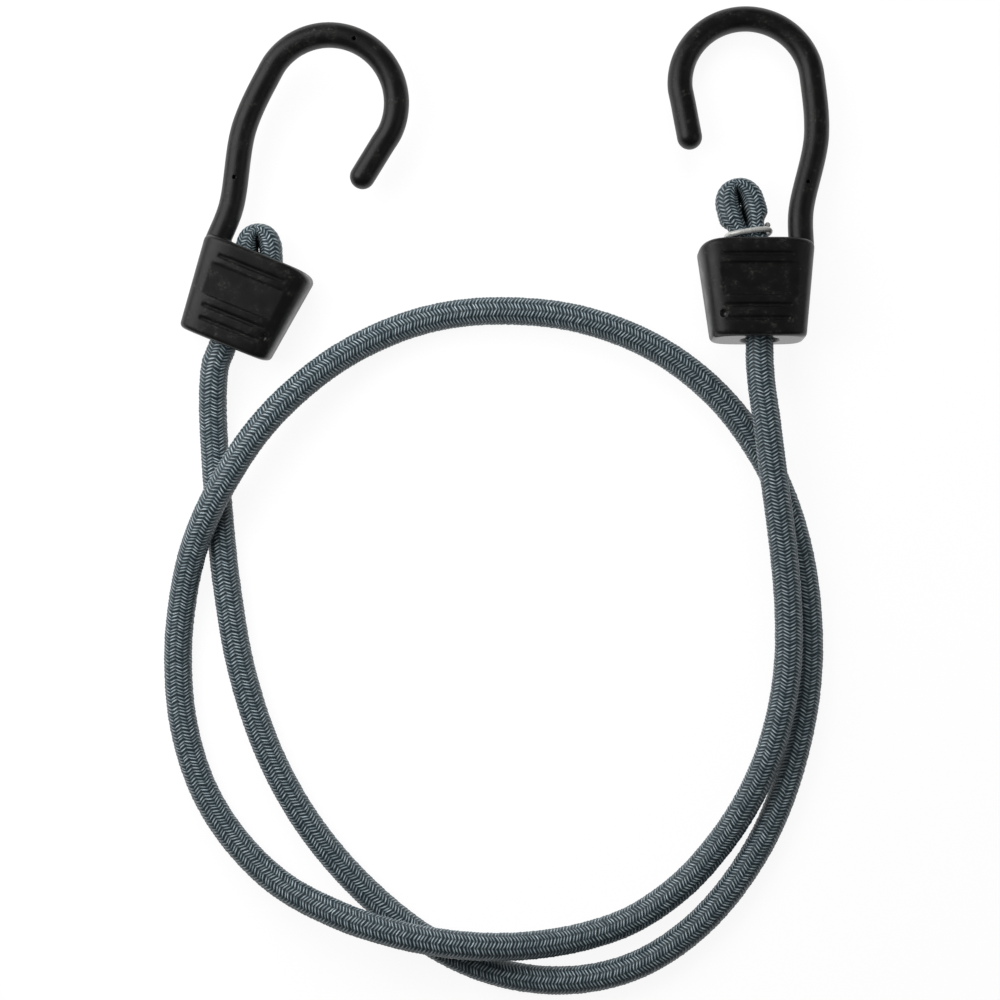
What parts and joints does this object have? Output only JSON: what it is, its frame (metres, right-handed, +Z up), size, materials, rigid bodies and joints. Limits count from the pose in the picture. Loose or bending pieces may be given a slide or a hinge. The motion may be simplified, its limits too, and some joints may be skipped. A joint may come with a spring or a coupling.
{
  "type": "bungee cord",
  "caption": "Elastic tie-down cord with a braided sleeve over a rubber core, folded and crimped into a moulded collar with a steel-cored open hook at each end.",
  "frame": {"origin": "on the table the cord lies on, below the middle of the box round the two hook ends", "axes": "+Z up from the table, +X from the left hook end towards the right one, +Y from the cord's loops towards the hooks' bows"},
  "size_m": [0.1922, 0.2863, 0.0214],
  "materials": {
    "nylon": "black moulded nylon, semi-gloss",
    "steel_core": "plain drawn steel rod",
    "ring_wire": "bright galvanised wire",
    "braid": "dark blue-grey braided polyester",
    "rubber_threads": "natural rubber threads"
  },
  "bodies": {
    "cord": {"cord_sleeve": "braid", "cord_rubber": "rubber_threads"},
    "left_fold": {"left_fold_sleeve": "braid", "left_fold_rubber": "rubber_threads", "left_crimp_ring": "ring_wire"},
    "left_hook": {"left_hook_moulding": "nylon", "left_hook_steel_core": "steel_core"},
    "right_fold": {"right_fold_sleeve": "braid", "right_fold_rubber": "rubber_threads", "right_crimp_ring": "ring_wire"},
    "right_hook": {"right_hook_moulding": "nylon", "right_hook_steel_core": "steel_core"}
  },
  "joints": [
    {"name": "left_stretch", "type": "slide", "parent": "cord", "child": "left_fold", "axis": [0.376, 0.9266, 0], "range_m": [0, 0.04], "stiffness_N_per_m": 2350, "deforming": ["cord_sleeve", "cord_rubber"]},
    {"name": "right_stretch", "type": "slide", "parent": "cord", "child": "right_fold", "axis": [0, 1, 0], "range_m": [0, 0.04], "stiffness_N_per_m": 2350, "deforming": ["cord_sleeve", "cord_rubber"]},
    {"name": "left_seat", "type": "slide", "parent": "left_fold", "child": "left_hook", "axis": [-0.3753, -0.9247, -0.0639], "range_m": [0, 0.0102], "deforming": ["cord_sleeve", "cord_rubber"]},
    {"name": "right_seat", "type": "slide", "parent": "right_fold", "child": "right_hook", "axis": [0, 0.9951, -0.0986], "range_m": [0, 0.0102]}
  ]
}
